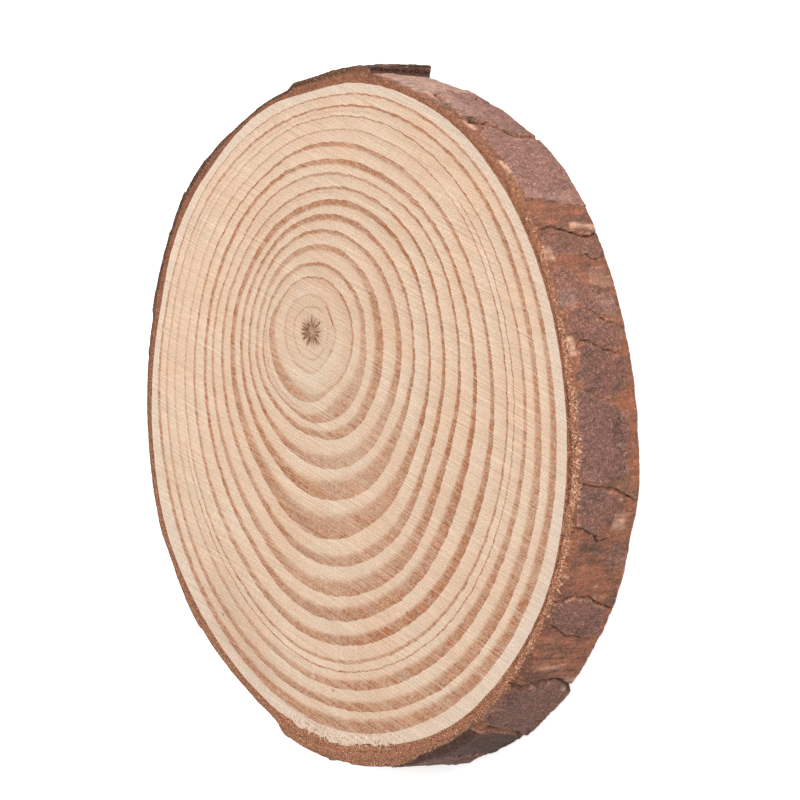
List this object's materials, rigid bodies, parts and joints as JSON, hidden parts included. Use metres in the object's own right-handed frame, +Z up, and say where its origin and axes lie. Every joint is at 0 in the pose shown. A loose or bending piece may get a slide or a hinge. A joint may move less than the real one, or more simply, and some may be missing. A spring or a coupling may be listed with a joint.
{
  "type": "wood slice",
  "caption": "Thin cross-cut slice of a pine stem with growth rings about an off-centre pith and its flaky bark on, lying on one sawn face.",
  "frame": {"origin": "centre of the slice's bounding box, at the height of the face it lies on", "axes": "+Z up along the stem's growth out of the sawn face on show; +X and +Y are that face's right and up in the picture"},
  "size_m": [0.0912, 0.095, 0.01],
  "materials": {
    "wood": "sawn end grain of pine",
    "bark": "flaky pine bark"
  },
  "bodies": {
    "root": {"wood_slice": "wood"}
  },
  "joints": []
}
